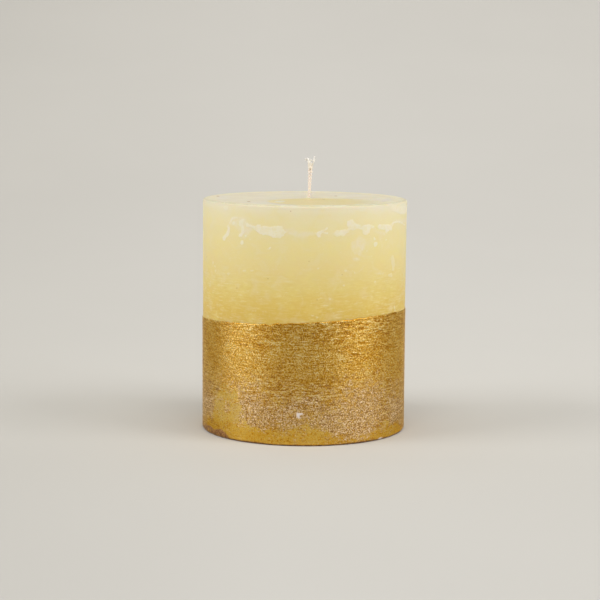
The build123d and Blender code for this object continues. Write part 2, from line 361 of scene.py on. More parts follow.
class Mat:
    """A material with short ways to add and join nodes."""

    def __init__(self, name):
        self.m = bpy.data.materials.new(name)
        self.m.use_nodes = True
        self.t = self.m.node_tree
        self.t.nodes.clear()
        self.out = self.t.nodes.new("ShaderNodeOutputMaterial")
        self.b = self.t.nodes.new("ShaderNodeBsdfPrincipled")
        self.t.links.new(self.b.outputs[0], self.out.inputs[0])
        tc = self.t.nodes.new("ShaderNodeTexCoord")
        self.mm = self.vec("MULTIPLY", tc.outputs["Object"], (1000.0, 1000.0, 1000.0))

    def put(self, socket, value):
        if isinstance(value, bpy.types.NodeSocket):
            self.t.links.new(value, socket)
        elif value is not None:
            socket.default_value = value

    def vec(self, op, a, b):
        n = self.t.nodes.new("ShaderNodeVectorMath")
        n.operation = op
        self.put(n.inputs[0], a)
        self.put(n.inputs[1], b)
        return n.outputs[0]

    def math(self, op, a, b=None, c=None, clamp=False):
        n = self.t.nodes.new("ShaderNodeMath")
        n.operation = op
        n.use_clamp = clamp
        self.put(n.inputs[0], a)
        if b is not None:
            self.put(n.inputs[1], b)
        if c is not None:
            self.put(n.inputs[2], c)
        return n.outputs[0]

    def attr(self, name):
        n = self.t.nodes.new("ShaderNodeAttribute")
        n.attribute_name = name
        return n.outputs["Fac"]

    def axis(self, which):
        n = self.t.nodes.new("ShaderNodeSeparateXYZ")
        self.put(n.inputs[0], self.mm)
        return n.outputs[which]

    def noise(self, scale, detail=2.0, rough=0.5, stretch=None, distortion=0.0, vector=None):
        n = self.t.nodes.new("ShaderNodeTexNoise")
        v = vector or self.mm
        if stretch:
            v = self.vec("MULTIPLY", v, stretch)
        self.put(n.inputs["Vector"], v)
        n.inputs["Scale"].default_value = scale
        n.inputs["Detail"].default_value = detail
        n.inputs["Roughness"].default_value = rough
        n.inputs["Distortion"].default_value = distortion
        return n.outputs["Fac"]

    def voronoi(self, scale, feature="F1", out="Distance", stretch=None, randomness=1.0):
        n = self.t.nodes.new("ShaderNodeTexVoronoi")
        n.feature = feature
        v = self.mm
        if stretch:
            v = self.vec("MULTIPLY", v, stretch)
        self.put(n.inputs["Vector"], v)
        n.inputs["Scale"].default_value = scale
        n.inputs["Randomness"].default_value = randomness
        return n.outputs[out]

    def remap(self, x, a, b, c=0.0, d=1.0, kind="SMOOTHSTEP"):
        n = self.t.nodes.new("ShaderNodeMapRange")
        n.interpolation_type = kind
        self.put(n.inputs["Value"], x)
        n.inputs["From Min"].default_value = a
        n.inputs["From Max"].default_value = b
        n.inputs["To Min"].default_value = c
        n.inputs["To Max"].default_value = d
        return n.outputs["Result"]

    def ramp(self, x, stops, kind="LINEAR"):
        n = self.t.nodes.new("ShaderNodeValToRGB")
        cr = n.color_ramp
        cr.interpolation = kind
        while len(cr.elements) > 1:
            cr.elements.remove(cr.elements[-1])
        cr.elements[0].position = stops[0][0]
        cr.elements[0].color = stops[0][1]
        for p, c in stops[1:]:
            e = cr.elements.new(p)
            e.color = c
        self.put(n.inputs["Fac"], x)
        return n.outputs["Color"]

    def mix(self, fac, a, b, blend="MIX"):
        n = self.t.nodes.new("ShaderNodeMix")
        n.data_type = "RGBA"
        n.blend_type = blend
        self.put(n.inputs["Factor"], fac)
        self.put(n.inputs[6], a)
        self.put(n.inputs[7], b)
        return n.outputs[2]

    def bump(self, height, strength=1.0, distance=0.001, normal=None):
        n = self.t.nodes.new("ShaderNodeBump")
        n.inputs["Strength"].default_value = strength
        n.inputs["Distance"].default_value = distance
        self.put(n.inputs["Height"], height)
        if normal is not None:
            self.put(n.inputs["Normal"], normal)
        return n.outputs[0]

    def set(self, **values):
        for key, value in values.items():
            self.put(self.b.inputs[key.replace("_", " ")], value)
        return self.m


# ----------------------------------------------------------------------------
# materials
# ----------------------------------------------------------------------------
# tone of the wall by height, pale cream at the rim and a deeper, darker yellow towards the gold: partly the wax's own
# colour, partly painted shade where less light scatters up through the wax above the gold
WALL_TONES_AND_SHADE = [
    (40.0, (211, 175, 80)), (44.0, (215, 181, 84)), (46.5, (218, 187, 93)), (49.0, (220, 191, 101)), (52.0, (222, 197, 114)),
    (55.5, (224, 201, 126)), (59.0, (226, 204, 134)), (62.0, (227, 207, 140)), (67.0, (229, 211, 147)), (70.0, (229, 212, 153)),
    (74.0, (230, 215, 161)), (76.5, (230, 216, 168)), (78.5, (230, 218, 180)), (80.0, (229, 218, 188)),
]
WAX_GAIN = (1.00, 1.045, 1.155)


def wax(r, g, b):
    """A wax colour as it looks in daylight, brought to the pigment's own colour."""
    c = srgb(r, g, b)
    return (min(c[0] * WAX_GAIN[0], 0.97), min(c[1] * WAX_GAIN[1], 0.95), min(c[2] * WAX_GAIN[2], 0.92), 1.0)


def top_wax_shaded(r, g, b):
    """The chalkier wax of the rim, the floor and the pool, with painted shade: darker than the wall's wax to offset the
    stronger light that falls on the top.
    """
    c = wax(r, g, b)
    return (c[0] * 0.893, c[1] * 0.880, c[2] * 0.830, 1.0)


def make_wax(name):
    """The two pours: cloudy above, brushed below, flakes at the joint, chalky rim and floor, with painted shade low on
    the wall, on the top and along the lip.
    """
    k = Mat(name)
    z = k.axis("Z")
    wob = k.noise(0.10, 3.0, 0.55)
    zz = k.math("ADD", z, k.math("MULTIPLY", k.math("SUBTRACT", wob, 0.5), 5.0))
    t = k.remap(zz, 38.0, 81.0, 0.0, 1.0, "LINEAR")
    # the wall's tone by height, darker towards the gold partly as painted shade
    base = k.ramp(t, [((h - 38.0) / 43.0, wax(*c)) for h, c in WALL_TONES_AND_SHADE])
    low = k.remap(z, 64.0, 46.0)
    # clouds, as where the wax set at different speeds: paler and yellower, hardly darker
    cloud = k.noise(0.17, 4.0, 0.62, stretch=(1.0, 1.0, 1.35), distortion=0.6)
    base = k.mix(k.remap(cloud, 0.50, 0.68, 0.0, 0.17), base, wax(229, 215, 183))
    base = k.mix(k.remap(cloud, 0.50, 0.34, 0.0, 0.22), base, wax(231, 212, 130))
    # fine chalky speckle of the bloom, thickest in a belt half way down
    fine = k.noise(1.9, 3.0, 0.72, stretch=(1.0, 1.0, 1.25))
    belt = k.math("MULTIPLY_ADD", k.remap(k.noise(0.22, 2.0, 0.5), 0.40, 0.62), 0.20, 0.07)
    base = k.mix(k.math("MULTIPLY", k.remap(fine, 0.56, 0.74), belt), base, wax(235, 226, 196))
    # brushed lines left by the mould: pale crests and deeper troughs; where the troughs follow the relief's valleys,
    # their darkening is painted shade
    ridge = k.attr("ridge")
    streak = k.noise(2.0, 2.0, 0.60, stretch=(0.17, 0.17, 1.0))
    streak2 = k.noise(1.75, 1.0, 0.5, stretch=(0.42, 0.42, 1.15))
    crest = k.math("ADD", k.math("MULTIPLY", k.remap(streak, 0.52, 0.72), 0.80), k.math("MULTIPLY", k.remap(streak2, 0.58, 0.76), 0.35))
    crest = k.math("ADD", crest, k.math("MULTIPLY", k.remap(ridge, 0.30, 0.80), 0.35))
    where = k.remap(k.noise(0.13, 3.0, 0.6), 0.38, 0.62, 0.35, 1.0)
    amount = k.math("MULTIPLY", k.math("MULTIPLY_ADD", low, 0.38, 0.02), where)
    base = k.mix(k.math("MULTIPLY", crest, amount, clamp=True), base, wax(236, 225, 184))
    trough = k.math("ADD", k.math("MULTIPLY", k.remap(streak, 0.46, 0.30), 0.65), k.math("MULTIPLY", k.remap(ridge, -0.25, -0.8), 0.4))
    base = k.mix(k.math("MULTIPLY", trough, k.math("MULTIPLY", amount, 0.75), clamp=True), base, wax(208, 170, 74))
    # finer broken lines, thickest towards the sides and the back
    side = k.math("MAXIMUM", k.remap(k.math("ABSOLUTE", k.axis("X")), 13.0, 30.0), k.remap(k.axis("Y"), -12.0, 16.0))
    streak3 = k.noise(2.3, 2.0, 0.65, stretch=(0.11, 0.11, 1.0))
    extra = k.math("MULTIPLY", k.remap(z, 62.0, 48.0), k.math("MULTIPLY_ADD", side, 0.75, 0.25))
    base = k.mix(k.math("MULTIPLY", k.remap(streak3, 0.55, 0.70), k.math("MULTIPLY", extra, 0.25)), base, wax(238, 227, 186))
    base = k.mix(k.math("MULTIPLY", k.remap(streak3, 0.45, 0.30), k.math("MULTIPLY", extra, 0.27)), base, wax(206, 166, 72))
    # flakes, their outlines frayed at two sizes
    edge = k.math("MULTIPLY", k.math("SUBTRACT", k.noise(0.95, 3.0, 0.65), 0.5), 0.95)
    edge = k.math("ADD", edge, k.math("MULTIPLY", k.math("SUBTRACT", k.noise(2.6, 2.0, 0.6), 0.5), 0.62))
    crisp = k.remap(k.math("ADD", k.attr("crisp"), edge), -0.15, -0.01)
    faint = k.remap(k.math("ADD", k.attr("faint"), edge), -0.45, 0.75)
    thin = k.remap(k.noise(0.7, 4.0, 0.7), 0.34, 0.60, 0.48, 1.0)
    base = k.mix(k.math("MULTIPLY", faint, k.remap(k.noise(0.8, 3.0, 0.6), 0.35, 0.65, 0.25, 0.62)), base, wax(230, 217, 186))
    thin = k.math("MULTIPLY", thin, k.remap(z, 61.0, 68.0, 0.40, 1.0))
    base = k.mix(k.math("MULTIPLY", crisp, thin), base, wax(233, 222, 188))
    # small chalky ticks scattered over the wall
    tick = k.voronoi(0.36, stretch=(1.0, 1.0, 1.25))
    tick = k.math("ADD", tick, k.math("MULTIPLY", k.noise(2.6, 2.0, 0.6), 0.10))
    tick = k.math("MULTIPLY", k.remap(tick, 0.105, 0.085), k.remap(k.noise(0.11, 1.0, 0.5), 0.50, 0.60))
    base = k.mix(k.math("MULTIPLY", tick, 0.36), base, wax(236, 228, 206))
    # top: attribute "top" is 0 on the wall and 1 on the rim and floor; "rim" is 1 on the rim
    floor_tone = k.mix(k.remap(k.noise(0.13, 4.0, 0.62), 0.36, 0.66), top_wax_shaded(218, 208, 182), top_wax_shaded(226, 216, 190))
    floor_tone = k.mix(k.remap(k.noise(0.5, 3.0, 0.65), 0.52, 0.74, 0.0, 0.45), floor_tone, top_wax_shaded(222, 208, 166))
    chalk = k.remap(k.noise(0.09, 3.0, 0.6), 0.48, 0.62)
    floor_tone = k.mix(k.math("MULTIPLY", chalk, 0.34), floor_tone, top_wax_shaded(222, 215, 200))
    rim_tone = k.mix(k.remap(k.noise(0.30, 4.0, 0.65), 0.38, 0.66), top_wax_shaded(225, 214, 176), top_wax_shaded(229, 221, 196))
    top = k.mix(k.attr("rim"), floor_tone, rim_tone)
    base = k.mix(k.attr("top"), base, top)
    # painted shade dulls the lip, where the rim's crest catches the light; then a broken whitish line along it
    lip = k.attr("lip")
    base = k.mix(k.math("MULTIPLY", lip, 0.85), base, top_wax_shaded(204, 196, 160))
    lip = k.math("MULTIPLY", lip, k.remap(k.noise(0.16, 3.0, 0.6), 0.40, 0.56))
    lip = k.math("MULTIPLY", lip, k.remap(k.noise(1.1, 2.0, 0.6), 0.34, 0.52))
    base = k.mix(k.math("MULTIPLY", lip, 0.45), base, top_wax_shaded(231, 227, 210))
    # rare brown specks: a few that are always there, the rest at random
    sp = k.math("ADD", k.voronoi(0.14), k.math("MULTIPLY", k.noise(3.0, 1.0, 0.5), 0.03))
    speck = k.remap(sp, 0.050, 0.036)
    strong = None
    for x, y, h, r in SPECKS:
        n = k.t.nodes.new("ShaderNodeVectorMath")
        n.operation = "DISTANCE"
        k.put(n.inputs[0], k.mm)
        if h > 79.0:  # on the top they are smeared fore and aft
            k.put(n.inputs[0], k.vec("MULTIPLY", k.mm, (1.0, 0.50, 1.0)))
            y = y * 0.50
        n.inputs[1].default_value = (x, y, h)
        dot = k.remap(n.outputs["Value"], r * 1.25, r * 0.6)
        if h > 79.0:
            strong = dot if strong is None else k.math("MAXIMUM", strong, dot)
        else:
            speck = k.math("MAXIMUM", speck, dot)
    base = k.mix(k.math("MULTIPLY", speck, 0.48), base, wax(168, 128, 66))
    base = k.mix(k.math("MULTIPLY", strong, 0.85), base, wax(156, 110, 52))
    h = k.math("ADD", k.math("MULTIPLY", k.noise(1.9, 3.0, 0.65), 0.55), k.math("MULTIPLY", streak, k.math("MULTIPLY_ADD", low, 0.6, 0.05)))
    h = k.math("ADD", h, k.math("MULTIPLY", streak3, k.math("MULTIPLY", extra, 1.2)))
    rough = k.math("MULTIPLY_ADD", k.noise(0.7, 3.0, 0.6), 0.14, 0.47)
    rough = k.math("ADD", rough, k.math("MULTIPLY", crisp, 0.06))
    k.set(Base_Color=base, Roughness=rough, Normal=k.bump(h, 0.35, 0.00007))
    k.b.inputs["Specular IOR Level"].default_value = 0.40
    k.b.inputs["IOR"].default_value = 1.44
    k.b.inputs["Subsurface Weight"].default_value = 0.35
    k.b.inputs["Subsurface Radius"].default_value = (1.0, 0.62, 0.22)
    k.b.inputs["Subsurface Scale"].default_value = 0.0016
    k.b.inputs["Sheen Weight"].default_value = 0.02
    k.b.inputs["Sheen Roughness"].default_value = 0.45
    k.b.inputs["Sheen Tint"].default_value = (1.0, 0.97, 0.90, 1.0)
    return k.m


SPECKS = [
    # x, y, z and radius of brown specks with a fixed place, mm
    (35 * math.sin(-12.2 / 35), -35 * math.cos(12.2 / 35), 55.6, 0.22), (35 * math.sin(-4.6 / 35), -35 * math.cos(4.6 / 35), 77.95, 0.22),
    (35 * math.sin(1.5 / 35), -35 * math.cos(1.5 / 35), 61.6, 0.18), (-18.8, -15.2, 79.55, 0.62), (-30.2, 7.6, 79.8, 0.58),
    (11.0, 13.1, 79.55, 0.62), (14.0, -33.0, 43.0, 0.12), (-22.0, 21.0, 66.0, 0.25), (20.0, 28.6, 71.0, 0.22), (-12.0, 32.8, 50.0, 0.22),
]


def make_pool_wax(name):
    k = Mat(name)
    tone = k.mix(k.remap(k.noise(0.14, 4.0, 0.55), 0.35, 0.7), top_wax_shaded(227, 207, 136), top_wax_shaded(231, 212, 151))
    tone = k.mix(k.remap(k.noise(0.9, 4.0, 0.6), 0.52, 0.75, 0.0, 0.35), tone, top_wax_shaded(216, 196, 132))
    # pale skin creeping in from the edge and the ring round the wick
    tone = k.mix(k.math("MULTIPLY", k.attr("skin"), k.remap(k.noise(0.8, 3.0, 0.6), 0.35, 0.6, 0.35, 1.0)), tone, top_wax_shaded(229, 219, 188))
    # it thins out to the floor's own tone towards its right end
    fade = k.math("MULTIPLY", k.remap(k.math("ADD", k.axis("X"), k.math("MULTIPLY", k.noise(0.25, 3.0, 0.6), 8.0)), 17.0, 28.0), 0.72)
    tone = k.mix(fade, tone, top_wax_shaded(226, 216, 182))
    # painted highlight: a pale dash on the pool, in front of and to the left of the wick, squashed fore and aft
    n = k.t.nodes.new("ShaderNodeVectorMath")
    n.operation = "DISTANCE"
    k.put(n.inputs[0], k.vec("MULTIPLY", k.mm, (1.0, 0.42, 1.0)))
    n.inputs[1].default_value = (-8.3, -14.4 * 0.42, 79.5)
    highlight_dash = k.remap(k.math("ADD", n.outputs["Value"], k.math("MULTIPLY", k.noise(1.0, 2.0, 0.6), 1.2)), 2.5, 2.1)
    tone = k.mix(k.math("MULTIPLY", highlight_dash, 0.75), tone, top_wax_shaded(233, 226, 206))
    speck = k.remap(k.voronoi(0.16), 0.05, 0.036)
    n = k.t.nodes.new("ShaderNodeVectorMath")
    n.operation = "DISTANCE"
    k.put(n.inputs[0], k.vec("MULTIPLY", k.mm, (1.0, 0.50, 1.0)))
    n.inputs[1].default_value = (6.5, -3.9 * 0.50, 79.6)
    speck = k.math("MAXIMUM", speck, k.remap(n.outputs["Value"], 0.65, 0.35))
    tone = k.mix(k.math("MULTIPLY", speck, 0.6), tone, top_wax_shaded(176, 138, 70))
    h = k.noise(1.2, 3.0, 0.6)
    rough = k.math("MULTIPLY_ADD", k.noise(0.5, 3.0, 0.6), 0.16, 0.24)
    k.set(Base_Color=tone, Roughness=rough, Normal=k.bump(h, 0.25, 0.00005))
    k.b.inputs["IOR"].default_value = 1.44
    k.b.inputs["Subsurface Weight"].default_value = 0.30
    k.b.inputs["Subsurface Radius"].default_value = (1.0, 0.62, 0.22)
    k.b.inputs["Subsurface Scale"].default_value = 0.0016
    return k.m


GOLD_PIT = (0.23, 0.085, 0.004, 1)
GOLD_DARK = (0.375, 0.140, 0.001, 1)
GOLD_MID = (0.595, 0.286, 0.002, 1)
GOLD_EVEN = (0.725, 0.468, 0.076, 1)
GOLD_LIGHT = (0.79, 0.592, 0.235, 1)
GOLD_GLINT = (0.86, 0.740, 0.420, 1)
ROSE_DARK = (0.21, 0.088, 0.018, 1)
ROSE_MID = (0.565, 0.350, 0.108, 1)
ROSE_LIGHT = (0.92, 0.765, 0.600, 1)


def make_gold(name):
    """Gold lacquer: flaky grain caught in the brushed lines, even where it drained, rubbed below."""
    k = Mat(name)
    ridge = k.attr("ridge")
    even = k.attr("even")  # 1 where the coat lies smooth
    worn = k.attr("worn")  # how far the coat is rubbed to rose and brown
    brown = k.attr("brown")
    chip = k.attr("chip")
    lines = k.attr("lines")  # strength of the brushed lines
    uneven = k.math("SUBTRACT", 1.0, even, clamp=True)

    def centred(x, a):
        return k.math("MULTIPLY", k.math("SUBTRACT", x, 0.5), a)

    g1 = k.noise(2.85, 2.0, 0.75)
    g2 = k.noise(1.30, 2.0, 0.60, stretch=(1.0, 1.0, 1.3))
    l1 = k.noise(2.6, 1.5, 0.60, stretch=(0.32, 0.32, 1.0))
    l2 = k.noise(2.00, 1.0, 0.50, stretch=(0.13, 0.13, 1.0))
    gr = k.math("ADD", centred(g1, 2.00), centred(g2, 0.20))
    ln = k.math("ADD", centred(l1, 0.85), centred(l2, 0.90))
    # painted light and shade following the relief: the grain is lighter on its crests and darker in its valleys
    ln = k.math("ADD", ln, k.math("MULTIPLY", ridge, 0.10))
    field = k.math("ADD", gr, k.math("MULTIPLY", ln, lines))  # about -0.4 .. 0.4
    field_c = k.math("MULTIPLY", field, k.math("MULTIPLY_ADD", uneven, 0.88, 0.12))
    # pits in the even places
    pits = k.math("MULTIPLY", k.remap(k.noise(1.5, 2.0, 0.65), 0.55, 0.67), k.math("MULTIPLY", even, 0.19))
    speckle = k.math("MULTIPLY", k.remap(k.noise(2.3, 2.0, 0.7), 0.64, 0.72), k.math("MULTIPLY", even, 0.11))
    lift = k.math("MULTIPLY", even, k.remap(k.axis(2), 3.0, 9.0, 0.065, 0.165))
    value = k.math("ADD", k.math("ADD", 0.5, lift), k.math("MULTIPLY", field_c, 1.16))
    value = k.math("ADD", k.math("SUBTRACT", value, pits), speckle)
    slow = k.math("MULTIPLY", k.math("SUBTRACT", k.noise(0.11, 3.0, 0.55), 0.5), 0.30)
    slow = k.math("MULTIPLY", slow, k.math("MULTIPLY_ADD", uneven, 0.6, 0.4))
    value = k.math("ADD", value, slow, clamp=True)
    # the lightest grain tones, GOLD_LIGHT and GOLD_GLINT, are partly the flakes' own pale colour and partly painted
    # glints
    metal_tone = k.ramp(value, [(0.02, GOLD_PIT), (0.24, GOLD_DARK), (0.49, GOLD_MID), (0.60, GOLD_EVEN), (0.82, GOLD_LIGHT), (1.0, GOLD_GLINT)])
    # some of the flakes lie pale and greyish among the yellow ones
    pale = k.math("MULTIPLY", k.remap(k.noise(1.9, 2.0, 0.65), 0.50, 0.68, 0.0, 0.34), uneven)
    metal_tone = k.mix(pale, metal_tone, (0.58, 0.40, 0.16, 1))
    # rubbed parts: the same grain in rose-silver over brown, gathered in clumps
    clump = k.math("ADD", k.math("MULTIPLY", k.noise(0.42, 3.0, 0.62), 0.42), k.math("MULTIPLY", k.noise(1.35, 3.0, 0.70, stretch=(0.70, 0.70, 1.0)), 0.58))
    reach = k.math("SUBTRACT", k.math("ADD", clump, k.math("MULTIPLY", worn, 0.30)), 0.60)
    rubbed = k.remap(reach, -0.07, 0.17)
    glitter = k.remap(k.noise(1.65, 2.0, 0.70), 0.53, 0.60, 1.0, 0.25)
    rubbed = k.math("MULTIPLY", rubbed, glitter)
    rubbed = k.math("MULTIPLY", rubbed, k.remap(worn, 0.01, 0.14))
    g3 = k.noise(2.5, 2.0, 0.72, stretch=(0.80, 0.80, 1.1))
    rose_v = k.math("ADD", k.math("ADD", 0.47, centred(g3, 1.85)), k.math("MULTIPLY", field, 0.60), clamp=True)
    rose_tone = k.ramp(rose_v, [(0.22, ROSE_DARK), (0.52, ROSE_MID), (0.84, ROSE_LIGHT)])
    tone = k.mix(rubbed, metal_tone, rose_tone)
    # copper-brown at the foot and the chips; along the arris its dark end is partly a painted contact shadow
    br_tone = k.mix(k.remap(k.noise(1.9, 3.0, 0.7), 0.40, 0.64), (0.150, 0.052, 0.014, 1), (0.48, 0.245, 0.095, 1))
    tone = k.mix(k.math("MULTIPLY", brown, k.remap(k.noise(1.0, 3.0, 0.6), 0.26, 0.42)), tone, br_tone)
    tone = k.mix(chip, tone, (0.72, 0.64, 0.60, 1))
    metal = k.math("MULTIPLY_ADD", rubbed, -0.40, 0.96)
    metal = k.math("SUBTRACT", metal, k.math("MULTIPLY", brown, 0.35))
    metal = k.math("SUBTRACT", metal, k.math("MULTIPLY", chip, 0.95), clamp=True)
    rough = k.math("ADD", k.math("MULTIPLY_ADD", centred(g1, 1.0), -0.30, 0.29), k.math("MULTIPLY", rubbed, 0.12))
    rough = k.math("ADD", rough, k.math("MULTIPLY", brown, 0.12))
    rough = k.math("SUBTRACT", rough, k.math("MULTIPLY", even, 0.04), clamp=True)
    bh = k.math("MULTIPLY", field, k.math("MULTIPLY_ADD", uneven, 0.85, 0.15))
    bh = k.math("ADD", bh, k.math("MULTIPLY", k.math("MULTIPLY", centred(g3, 1.0), rubbed), 0.4))
    bmp = k.bump(bh, 1.0, 0.00007)
    k.set(Base_Color=tone, Roughness=rough, Metallic=metal, Normal=bmp)
    k.b.inputs["Coat Weight"].default_value = 0.08
    k.b.inputs["Coat Roughness"].default_value = 0.28
    k.b.inputs["Coat IOR"].default_value = 2.0
    k.b.inputs["Specular Tint"].default_value = (0.92, 0.74, 0.40, 1)
    k.put(k.b.inputs["Coat Normal"], bmp)
    return k.m


def make_cotton(name, tip=False):
    k = Mat(name)
    z = k.axis("Z")
    h = k.noise(3.4, 3.0, 0.7, stretch=(1.0, 1.0, 0.40))
    pale = srgb(255, 254, 251) if tip else srgb(255, 248, 244)
    deep = srgb(254, 248, 242) if tip else srgb(255, 238, 231)
    tone = k.mix(k.remap(h, 0.35, 0.65), deep, pale)
    tan = k.math("MULTIPLY", k.remap(z, 88.5, 90.3), k.remap(z, 92.2, 91.0))
    tone = k.mix(k.math("MULTIPLY", tan, 0.22), tone, srgb(248, 224, 186))
    wet = k.remap(z, 81.4, 79.6)
    tone = k.mix(k.math("MULTIPLY", wet, 0.5), tone, srgb(246, 232, 214))
    k.set(Base_Color=tone, Roughness=k.remap(h, 0.3, 0.7, 0.62, 0.86, "LINEAR"), Normal=k.bump(h, 0.4, 0.00003))
    k.b.inputs["Subsurface Weight"].default_value = 0.15
    k.b.inputs["Subsurface Radius"].default_value = (1.0, 0.75, 0.6)
    k.b.inputs["Subsurface Scale"].default_value = 0.0006
    k.b.inputs["Sheen Weight"].default_value = 0.45
    k.b.inputs["Sheen Roughness"].default_value = 0.5
    return k.m


def make_tin(name):
    k = Mat(name)
    n = k.noise(0.8, 3.0, 0.6)
    scr = k.noise(1.0, 4.0, 0.7, stretch=(0.25, 5.0, 1.0))
    tone = k.mix(k.remap(n, 0.35, 0.7), (0.50, 0.49, 0.46, 1), (0.70, 0.69, 0.66, 1))
    tone = k.mix(k.remap(k.noise(0.35, 4.0, 0.7), 0.58, 0.75, 0.0, 0.5), tone, (0.36, 0.30, 0.22, 1))
    k.set(Base_Color=tone, Roughness=k.remap(scr, 0.3, 0.7, 0.24, 0.50, "LINEAR"), Normal=k.bump(scr, 0.3, 0.00004))
    k.b.inputs["Metallic"].default_value = 1.0
    return k.m


# ----------------------------------------------------------------------------
# wax: the two pours have fused, so they are one skin here, from the recess in
# the base up the wall, over the rim, across the dish and down the bore
# ----------------------------------------------------------------------------
def loop_solid(name, rings, n, attrs):
    """A solid of revolution with a hole through it: the last ring joins the first."""
    k = np.arange(n)
    k1 = (k + 1) % n
    faces = []
    m = len(rings)
    for i in range(m):
        a, b = i * n, ((i + 1) % m) * n
        faces.append(np.stack([a + k, a + k1, b + k1, b + k], 1))
    return make_mesh(name, np.concatenate(rings), np.concatenate(faces), attrs=attrs)


def pool_d(x, y):
    """Distance inside the pool's outline, mm, positive inside."""
    cx, cy, rx, ry = POOL
    dx, dy = (x - cx) / rx, (y - cy) / ry
    ua = (np.arctan2(dy, dx) / TAU) % 1.0
    w = 1.0 + 0.035 * vnoise(ua, 0 * ua + 1.5, 7, 61) + 0.022 * vnoise(ua, 0 * ua + 4.5, 23, 62) + 0.010 * vnoise(ua, 0 * ua + 9.5, 61, 63)
    e = np.hypot(dx, dy)
    return np.minimum((w - e) * 16.5, 29.5 - np.hypot(x, y))


NW = 440
u = column_points(NW)
s_u = arc_s(u)
zero = np.zeros(NW)
rings, at = [], {"crisp": [], "faint": [], "ridge": [], "top": [], "rim": [], "lip": []}


def add(rg, c=None, f=None, rd=None, tp=0.0, rm=0.0, lp=0.0):
    rings.append(rg)
    at["crisp"].append(zero - 2 if c is None else c)
    at["faint"].append(zero - 2 if f is None else f)
    at["ridge"].append(zero if rd is None else rd)
    at["top"].append(zero + tp)
    at["rim"].append(zero + rm)
    at["lip"].append(zero + lp)


for r, z in (
    (BORE_R, RECESS_D), (6.0, RECESS_D), (RECESS_R - 0.05, RECESS_D), (RECESS_R, RECESS_D - 0.05), (RECESS_R, COAT_T + 0.03),
    (RECESS_R + 0.05, COAT_T), (18.0, COAT_T), (28.0, COAT_T), (WAX_R - 0.7, COAT_T), (WAX_R - 0.16, COAT_T + 0.24),
    (WAX_R - 0.02, COAT_T + 0.6), (WAX_R - 0.02, 18.0), (WAX_R - 0.02, 37.2),
):
    add(ring(u, r, z))
z_hi = RIM_Z - 1.05
levels = np.concatenate([np.linspace(37.8, 60.0, 75), np.linspace(60.4, 65.8, 13), np.linspace(66.05, z_hi, 63)])
for i, zc in enumerate(levels):
    z = zero + zc
    c, f = flake_fields(s_u, z)
    grow = min(1.0, (zc - 37.4) / 0.8)
    add(ring(u, WAX_R + wax_relief(u, z, c, f) * grow, z), c, f, ridges(u, z), step(78.2, 79.4, z) * 0.25)
wall_top = wax_relief(u, zero + z_hi, *flake_fields(s_u, zero + z_hi))

# rim: rounded outside, a crest 2.4 mm in, then an easy fall to the dish floor
CREST_Z = RIM_Z - 0.22
prof = []
z0 = z_hi
for i in range(1, 9):
    a = math.radians(90 * i / 8)
    prof.append((WAX_R - 1.05 * (1 - math.cos(a)), z0 + (CREST_Z - 0.06 - z0) * math.sin(a), 1.0 if i in (4, 5, 6) else 0.3))
for r, z, l in (
    (33.5, CREST_Z - 0.03, 0.35), (33.1, CREST_Z, 0.1), (32.7, CREST_Z, 0.0), (32.3, CREST_Z - 0.01, 0.0), (31.9, CREST_Z - 0.03, 0.0), (31.5, CREST_Z - 0.06, 0.0),
    (31.1, CREST_Z - 0.09, 0.0), (30.7, CREST_Z - 0.13, 0.0), (30.3, CREST_Z - 0.17, 0.0), (29.9, CREST_Z - 0.20, 0.0), (29.5, CREST_Z - 0.225, 0.0),
):
    prof.append((r, z, l))
for j, (r, z, l) in enumerate(prof):
    fade = max(0.0, 1 - j / 6)
    lump = 0.035 * vnoise(u, zero + r * 0.8, 60, 71) + 0.045 * vnoise(u, zero + r * 0.35, 17, 72) + 0.05 * vnoise(u, zero + r * 0.15, 5, 75)
    c, f = flake_fields(s_u, zero + z) if j < 5 else (zero - 2, zero - 2)
    rim_w = step(29.8, 31.4, np.asarray(float(r)))
    add(ring(u, r + wall_top * fade, z + lump * (0.35 if j < 3 else 1.0) * (0.5 if r < 31 else 1.0)), c, f, None, min(1.0, 0.25 + 0.12 * (j + 1)), float(rim_w), l)
r = 29.0
while r > BORE_R + 0.01:
    a = u * TAU
    x, y = r * np.sin(a), -r * np.cos(a)
    pd = pool_d(x, y)
    z = DISH_Z + 0.03 * vnoise(u, zero + r * 0.3, 11, 73) * (r / 29) + 0.012 * vnoise(u, zero + r * 0.9, 31, 74) * (r / 29)
    z = z - 0.12 * step(-0.05, 0.6, pd)
    add(ring(u, r, z), None, None, None, 1.0, 0.0)
    r -= 0.75
add(ring(u, BORE_R, DISH_Z - 0.12), tp=1.0)
for z in (60.0, 30.0):
    add(ring(u, BORE_R, z))
wax_skin = loop_solid("poured_wax", rings, NW, {key: np.concatenate(v) for key, v in at.items()})
wax_skin.data.materials.append(make_wax("poured_wax"))

# ----------------------------------------------------------------------------
# pool: the last topping-up, a lens of yellower wax that seals the bore
# ----------------------------------------------------------------------------
WX, WY = 1.3, 0.0


def pool_radius(ang):
    """Half width of the pool from its centre in a direction, found by stepping outwards."""
    cx, cy, rx, ry = POOL
    best = np.zeros_like(ang)
    for q in np.arange(8.0, 22.0, 0.04):
        x, y = cx + q * np.cos(ang), cy + q * np.sin(ang)
        best = np.where(pool_d(x, y) > 0, q, best)
    return best


NP = 300
pa = np.arange(NP) / NP * TAU
pr = pool_radius(pa)
pr = (pr + np.roll(pr, 1) + np.roll(pr, -1)) / 3


